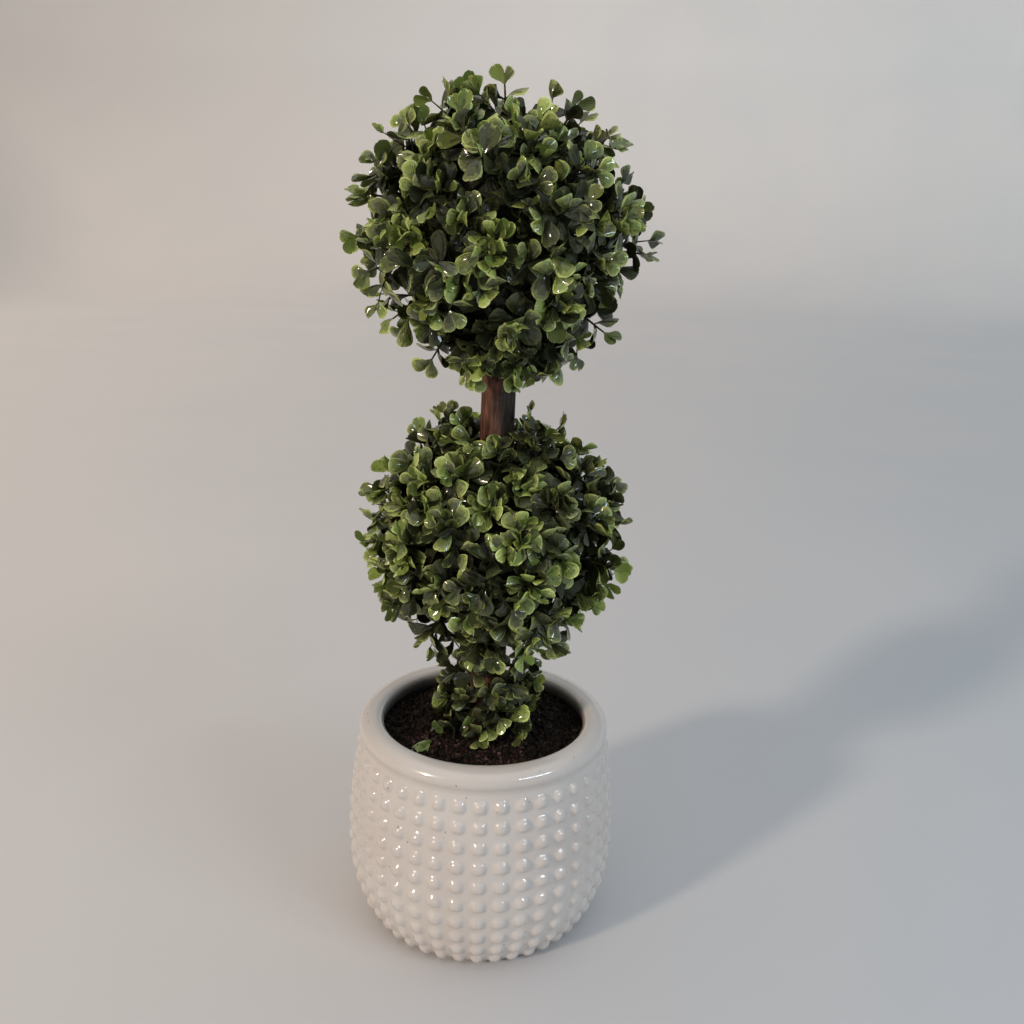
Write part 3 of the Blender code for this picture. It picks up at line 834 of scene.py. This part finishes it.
def ball_headings(rng, count, reach, stand_outs, held_in):
    """Headings of a ball's sprays with how far each ends inside the reach; stand-outs come first."""
    found = []
    for place in stand_outs:
        place = Vector(place)
        found.append((place.normalized(), max(0.0, reach - (place.length + 2.0) * MM)))
    fixed = [heading for heading, _ in found]
    for heading in headings(rng, count, 0.11):
        if all(heading.angle(other) > SPRAY_ANGLE for other in fixed):
            choice = SPRAY_SHORTFALLS[1:] if abs(heading.y) < EDGE_HEADING else SPRAY_SHORTFALLS
            found.append((heading, rng.choice(choice) * MM + held_in))
    return found


def grow_ball(rng, centre, reach, sprays, stand_outs, crown, held_in):
    """Twigs and leaves of one ball: sprays of uneven length, each with finer side twigs."""

    def allowed(point):
        if (point - centre).length > reach or near_stem(point, 1.0 * MM):
            return False
        return not (point.z > centre.z + crown and near_stem(point, 5.0 * MM))

    twigs, leaves = [], []
    for number, (heading, shortfall) in enumerate(ball_headings(rng, sprays, reach, stand_outs, held_in)):
        stands_out = number < len(stand_outs)
        heading = clear_heading(centre, heading, INNER_RADIUS, 3.0 * MM)
        base = centre + heading * INNER_RADIUS
        length = reach - shortfall - INNER_RADIUS - TIP_ROOM
        bend = (0.0, 0.2) if stands_out else (0.10, 0.50)
        # Sprays towards the warm lamp on the left get lighter leaf colours: painted light.
        young = rng.choice(SPRAY_AGES) - PAINTED_LIGHT_SIDE_AGE * heading.x
        for _ in range(4):
            path = bend_path(rng, base, heading, length, 6.0 * MM, bend)
            if all(allowed(p) for p in path[1:]):
                break
        else:
            continue
        found = fit_leaves(sprig_leaves(rng, path, 4, 0.2, 1.0, young, heading), allowed)
        if len(found) > 3:
            twigs.append((cut_twig(path, found), SPRAY_TWIG, 0.5))
            leaves += found
        side = any_normal(heading)
        other = heading.cross(side)
        for part in range(SIDE_TWIGS):
            turn = math.tau * (part + rng.uniform(-0.25, 0.25)) / SIDE_TWIGS
            lean = math.radians(rng.uniform(26.0, 62.0))
            out = side * math.cos(turn) + other * math.sin(turn)
            way = (heading * math.cos(lean) + out * math.sin(lean)).normalized()
            start = on_path(path, rng.uniform(0.12, 0.45))
            branch_length = rng.uniform(0.5, 0.9) * (length + 3.0 * MM)
            branch = bend_path(rng, start, way, branch_length, 0.2 * MM, (0.10, 0.60))
            if not all(allowed(p) for p in branch):
                continue
            found = sprig_leaves(rng, branch, 3, 0.35, 0.96, young + rng.uniform(-0.1, 0.1), heading)
            found = fit_leaves(found, allowed)
            thinned = part == 0 and abs(heading.y) < THINNED_HEADING
            if len(found) > 2 and not thinned:
                twigs.append((cut_twig(branch, found), SIDE_TWIG, 0.55))
                leaves += found
    return twigs, leaves


def grow_inside(rng, centre):
    """Short dark sprigs close to a ball's heart, seen only in the gaps between the sprays; their dark
    colour is painted shade.
    """
    twigs, leaves = [], []
    for heading in headings(rng, INNER_SPRIGS, 0.12):
        heading = clear_heading(centre, heading, HEART_RADIUS, 3.0 * MM)
        base = centre + heading * HEART_RADIUS
        path = bend_path(rng, base, heading, rng.uniform(5.0, 11.0) * MM, 4.0 * MM, (0.2, 0.9))
        if any(near_stem(p, 1.0 * MM) for p in path):
            continue
        twigs.append((path, INNER_TWIG, 0.6))
        found = sprig_leaves(rng, path, 3, 0.2, 0.9, 0.0, heading)
        leaves += [leaf for leaf in found if not near_stem(leaf_tip(leaf), 1.0 * MM)]
    return twigs, leaves


def grow_skirt(rng):
    """Sprigs that fan out round the foot of the stem, under the lower ball."""

    def allowed(point):
        under_ball = (point - LOWER_CENTRE).length > LOWER_REACH - 6.0 * MM
        over_soil = point.z > float(soil_height(point.x, point.y)) + 0.8 * MM
        close_in = math.hypot(point.x - STEM_FOOT_X, point.y) < SKIRT_RADIUS
        return under_ball and over_soil and close_in and not near_stem(point, 0.2 * MM)

    twigs, leaves = [], []
    low = stem_foot() + GAP
    for foot, root, end, age in SKIRT_EXTRAS:
        base, root, end = Vector((STEM_FOOT_X, 0.0, foot * MM)), Vector(root) * MM, Vector(end) * MM
        base += Vector((root.x - base.x, root.y, 0.0)).normalized() * (STEM_FOOT_RADIUS + 0.6 * MM)
        path = bend_path(rng, base, (root - base).normalized(), (root - base).length, 0.0, (0.0, 0.1))
        twigs.append((path, SIDE_TWIG, 0.6))
        along = (end - root).normalized()
        up = Vector((0.0, -0.5, 0.86))
        up = (up - along * up.dot(along)).normalized()
        leaves.append((path[-1], along, up, (end - root).length, LEAF_WIDTH * 1.05, age))
    for number in range(SKIRT_SPRIGS):
        turn = GOLDEN_TURN * number
        low_sprig = number % 3 == 0
        climb = math.radians(rng.uniform(-8.0, 18.0) if low_sprig else rng.uniform(-12.0, 55.0))
        out = Vector((math.cos(turn), math.sin(turn), 0.0))
        heading = out * math.cos(climb) + Vector((0.0, 0.0, math.sin(climb)))
        height = low + 30.0 * MM * (rng.uniform(0.05, 0.3) if low_sprig else rng.uniform(0.15, 1.15))
        base = Vector((stem_centre(height), 0.0, height)) + out * (stem_radius(height) + 0.8 * MM)
        path = bend_path(rng, base, heading, rng.uniform(9.0, 18.0) * MM, 0.0)
        if not all(allowed(p) for p in path[1:]):
            continue
        twigs.append((path, SKIRT_TWIG, 0.5))
        # Skirt leaves get low ages, so darker colours: painted shade under the lower ball.
        found = sprig_leaves(rng, path, 3, 0.35, 0.80, rng.uniform(-0.60, 0.05), out)
        leaves += fit_leaves(found, allowed)
    return twigs, leaves


def leaf_material(name, colour, roughness, coat):
    """Moulded plastic leaf: one plain colour, with fine ribs that run out to its edge."""
    material, tree, shader = new_material(name)
    shader.inputs["Base Color"].default_value = (*colour, 1.0)
    shader.inputs["Roughness"].default_value = roughness
    shader.inputs["Specular IOR Level"].default_value = LEAF_SPECULAR
    shader.inputs["Coat Weight"].default_value = coat
    shader.inputs["Coat IOR"].default_value = LEAF_COAT_IOR
    shader.inputs["Coat Roughness"].default_value = LEAF_COAT_ROUGHNESS
    on_leaf = add_node(tree, "ShaderNodeAttribute", attribute_name="leaf_place").outputs["Vector"]
    parts = add_node(tree, "ShaderNodeSeparateXYZ", [("Vector", on_leaf)])
    aside = maths(tree, "ABSOLUTE", parts.outputs["X"])
    across = maths(tree, "MULTIPLY", aside, -RIB_TURNS_ACROSS * math.tau)
    phase = maths(tree, "MULTIPLY_ADD", parts.outputs["Y"], RIB_TURNS_ALONG * math.tau, across)
    place = add_node(tree, "ShaderNodeTexCoord").outputs["Object"]
    uneven = span(tree, noise(tree, place, 700.0, 3.0), -2.0, 2.0)
    height = maths(tree, "ADD", maths(tree, "SINE", phase), uneven)
    tree.links.new(bump(tree, height, 0.62, 0.13 * MM), shader.inputs["Normal"])
    return material


def twig_piece(name, twigs, material, node, sides=5):
    points, faces = [], []
    for path, radius, taper in twigs:
        faces += tube_faces(len(path), sides, len(points))
        points += [tuple(p) for p in twig_points(path, radius, taper, sides)]
    return piece(name, points, faces, [material], node)


def core_piece(name, centre, radius, material, node, seed):
    """The dark heart of a ball, painted shade for its deep inside: a sphere drawn into lumps."""
    rng = np.random.default_rng(seed)
    sides, rows = 72, 40
    lumps = rng.normal(size=(90, 3))
    lumps /= np.linalg.norm(lumps, axis=1)[:, None]
    sizes = rng.uniform(-1.0, 1.0, 90)
    points = []
    for row in range(rows):
        polar = math.pi * (row + 0.5) / rows
        for k in range(sides):
            turn = math.tau * k / sides
            level = math.sin(polar)
            ray = np.array([level * math.cos(turn), level * math.sin(turn), math.cos(polar)])
            near = np.exp(30.0 * (lumps @ ray - 1.0))
            size = radius * (1.0 + 0.07 * float(near @ sizes))
            points.append(np.array(centre) + ray * size)
    faces = [face[::-1] for face in tube_faces(rows, sides)]
    return piece(name, points, faces, [material], node)


def core_material():
    material, tree, shader = new_material("shaded_heart")
    place = add_node(tree, "ShaderNodeTexCoord").outputs["Object"]
    cells = noise(tree, place, 160.0, 5.0, 0.6)
    # Near-black colour: painted shade deep inside the ball.
    colour = ramp(tree, cells, [(0.35, (0.013, 0.014, 0.008)), (0.7, (0.034, 0.038, 0.020))])
    tree.links.new(colour, shader.inputs["Base Color"])
    tree.links.new(span(tree, cells, 0.7, 1.0), shader.inputs["Roughness"])
    tree.links.new(bump(tree, cells, 1.0, 3.0 * MM), shader.inputs["Normal"])
    return material


# --- build -------------------------------------------------------------------------------------

# Kinds of leaf by age: name, highest age, colours of blade, rim and heart, roughness, coat.
# Lower ages stand partly for painted shade deep in a ball, and higher ones on the warm lamp's side for
# painted light.
KINDS = (
    ("shade", 0.0, (0.041, 0.047, 0.022), (0.092, 0.108, 0.039), (0.026, 0.030, 0.014), 0.36, 0.6),
    ("old", 0.42, (0.073, 0.086, 0.032), (0.325, 0.375, 0.120), (0.038, 0.045, 0.018), 0.32, 1.0),
    ("ripe", 0.75, (0.144, 0.177, 0.048), (0.495, 0.580, 0.170), (0.066, 0.082, 0.026), 0.30, 1.0),
    ("young", 1.08, (0.230, 0.302, 0.070), (0.620, 0.720, 0.222), (0.118, 0.158, 0.040), 0.30, 1.0),
    ("tip", AGE_LIMIT, (0.365, 0.465, 0.110), (0.690, 0.780, 0.300), (0.235, 0.315, 0.075), 0.32, 1.0),
)


def towards(first, second, share):
    return tuple(a + (b - a) * share for a, b in zip(first, second))


def make_foliage():
    blades = {}
    for name, _, blade, rim, heart, rough, coat in KINDS:
        blades[name] = [
            leaf_material(f"{name}_leaf", blade, rough, coat),
            # The rim colour is partly the leaf's lighter margin and partly a painted highlight along its
            # edge.
            leaf_material(f"{name}_leaf_rim", rim, rough + 0.05, coat),
            leaf_material(f"{name}_leaf_heart", heart, rough, coat),
            leaf_material(f"{name}_leaf_outer", towards(blade, rim, 0.35), rough, coat),
        ]
    # Near-black inner leaves: painted shade deep inside the ball.
    deep = leaf_material("inner_leaf_painted_shade", (0.032, 0.036, 0.016), 0.45, 0.3)
    twig_green = leaf_material("twig_green", (0.030, 0.034, 0.015), 0.55, 0.0)
    heart = core_material()
    templates = make_templates(random.Random(8), 14)
    plain_templates = make_templates(random.Random(9), 8, fine=False)
    grown = [(short, node, *grow_ball(random.Random(seed), *rule)) for short, node, seed, *rule in BALLS]
    grown.append(("skirt", "skirt", *grow_skirt(random.Random(36))))
    for short, node, twigs, leaves in grown:
        twig_piece(f"{short}_twigs", twigs, twig_green, node)
        lowest = -AGE_LIMIT
        for name, highest, *_ in KINDS:
            chosen = [leaf[:5] for leaf in leaves if lowest <= leaf[5] < highest]
            lowest = highest
            if chosen:
                leaf_piece(f"{short}_{name}_leaves", chosen, templates, blades[name], node)
    for seed, (short, node, _, centre, *_) in enumerate(BALLS, 1):
        twigs, leaves = grow_inside(random.Random(40 + seed), centre)
        leaves = [leaf[:5] for leaf in leaves]
        twig_piece(f"{short}_inner_twigs", twigs, twig_green, node, 3)
        leaf_piece(f"{short}_inner_leaves", leaves, plain_templates, [deep], node)
        core_piece(f"{short}_heart", centre, HEART_RADIUS + 1.0 * MM, heart, node, seed)


def make_floor():
    """A wide pale floor that curves up all round into a low backdrop, with painted light and shade across
    it.
    """
    sides = 96
    profile = [(0.5, 0.0), (1.5, 0.0), (BOWL_RADIUS - BOWL_CURVE, 0.0)]
    for k in range(1, 13):
        turn = 0.5 * math.pi * k / 12
        away = BOWL_RADIUS - BOWL_CURVE * (1.0 - math.sin(turn))
        profile.append((away, BOWL_CURVE * (1.0 - math.cos(turn))))
    profile.append((BOWL_RADIUS, BOWL_HEIGHT))
    points = [(0.0, 0.0, 0.0)]
    for radius, z in profile:
        for k in range(sides):
            turn = math.tau * k / sides
            points.append((radius * math.cos(turn), radius * math.sin(turn), z))
    faces = [(0, 1 + k, 1 + (k + 1) % sides) for k in range(sides)]
    faces += [face[::-1] for face in tube_faces(len(profile), sides, 1, closed=False)]
    mesh = bpy.data.meshes.new("floor")
    mesh.from_pydata(points, [], faces)
    mesh.polygons.foreach_set("use_smooth", [True] * len(faces))
    floor = bpy.data.objects.new("floor", mesh)
    bpy.context.scene.collection.objects.link(floor)
    material, tree, shader = new_material("pale_floor")
    place = add_node(tree, "ShaderNodeTexCoord").outputs["Object"]
    aside = add_node(tree, "ShaderNodeSeparateXYZ", [("Vector", place)])
    away = add_node(tree, "ShaderNodeVectorMath", [(0, place)], operation="LENGTH")
    wide = maths(tree, "MULTIPLY_ADD", away.outputs["Value"], 0.5, 0.35)
    side = between(tree, maths(tree, "DIVIDE", aside.outputs["X"], wide), -1.0, 1.0)
    cloud = maths(tree, "ADD", side, span(tree, noise(tree, place, 3.0, 4.0), -0.1, 0.1))
    # Painted light and shade: lighter and warmer to the left, towards the warm lamp, cooler and darker to
    # the right, and lighter up the backdrop, with a faint noise.
    near = ramp(
        tree,
        cloud,
        [(0.0, (0.81, 0.75, 0.695)), (0.5, (0.62, 0.61, 0.61)), (1.0, (0.45, 0.515, 0.575))],
    )
    far = ramp(
        tree,
        cloud,
        [(0.0, (0.92, 0.86, 0.79)), (0.5, (0.86, 0.89, 0.92)), (1.0, (0.585, 0.685, 0.77))],
    )
    climb = between(tree, aside.outputs["Z"], 0.0, 0.9)
    tree.links.new(mixed(tree, climb, near, far), shader.inputs["Base Color"])
    shader.inputs["Roughness"].default_value = 0.8
    mesh.materials.append(material)


def add_light(name, place, target, size, power, colour):
    light = bpy.data.lights.new(name, "AREA")
    light.shape = "RECTANGLE"
    light.size, light.size_y = size
    light.energy = power
    light.color = colour
    lamp = bpy.data.objects.new(name, light)
    lamp.location = place
    lamp.rotation_euler = (Vector(target) - Vector(place)).to_track_quat("-Z", "Y").to_euler()
    bpy.context.scene.collection.objects.link(lamp)


def add_sun(name, azimuth, elevation, strength, angle, colour):
    """A far soft light; azimuth 0 is behind the camera and 90 is to its right."""
    light = bpy.data.lights.new(name, "SUN")
    light.energy = strength
    light.angle = math.radians(angle)
    light.color = colour
    lamp = bpy.data.objects.new(name, light)
    turn, climb = math.radians(azimuth), math.radians(elevation)
    ray = Vector((math.sin(turn) * math.cos(climb), -math.cos(turn) * math.cos(climb), math.sin(climb)))
    lamp.rotation_euler = (-ray).to_track_quat("-Z", "Y").to_euler()
    bpy.context.scene.collection.objects.link(lamp)


def make_stage():
    make_floor()
    add_sun("key", azimuth=-49.0, elevation=23.0, strength=1.40, angle=6.0, colour=(1.0, 0.82, 0.67))
    add_light(
        "fill",
        place=(0.83, -0.72, 0.70),
        target=(0.0, 0.0, 0.2),
        size=(0.62, 0.04),
        power=3.3,
        colour=(0.70, 0.85, 1.0),
    )
    world = bpy.data.worlds.new("pale")
    world.use_nodes = True
    tree = world.node_tree
    background = tree.nodes["Background"]
    seen = add_node(tree, "ShaderNodeTexCoord").outputs["Generated"]
    way = add_node(tree, "ShaderNodeSeparateXYZ", [("Vector", seen)])
    across = between(tree, way.outputs["X"], -1.0, 1.0)
    tint = ramp(tree, across, [(0.0, (1.0, 0.94, 0.88)), (1.0, (0.88, 0.94, 1.0))])
    tree.links.new(tint, background.inputs["Color"])
    above = add_node(tree, "ShaderNodeClamp", [("Value", way.outputs["Z"])]).outputs["Result"]
    squared = maths(tree, "MULTIPLY", above, above)
    strength = maths(tree, "MULTIPLY_ADD", squared, SKY_RISE, SKY_LOW)
    tree.links.new(strength, background.inputs["Strength"])
    bpy.context.scene.world = world
    bpy.context.scene.view_settings.view_transform = "Standard"
    camera = bpy.data.cameras.new("camera")
    camera.lens = CAMERA_LENS
    camera.sensor_width = 36.0
    camera.clip_start = 0.01
    view = bpy.data.objects.new("camera", camera)
    view.matrix_world = (
        Matrix.Translation(CAMERA_PLACE)
        @ Matrix.Rotation(math.radians(90.0 - CAMERA_PITCH), 4, "X")
        @ Matrix.Rotation(math.radians(CAMERA_ROLL), 4, "Z")
    )
    bpy.context.scene.collection.objects.link(view)
    bpy.context.scene.camera = view


make_pot(glaze_material(), inner_material())
make_soil(
    soil_material("dark_peat", (0.005, 0.0042, 0.003), (0.014, 0.0105, 0.0075), (0.042, 0.026, 0.019)),
    soil_material("red_peat", (0.014, 0.0075, 0.006), (0.055, 0.026, 0.021), (0.19, 0.105, 0.088)),
)
make_trunk(bark_material())
make_foliage()
make_stage()
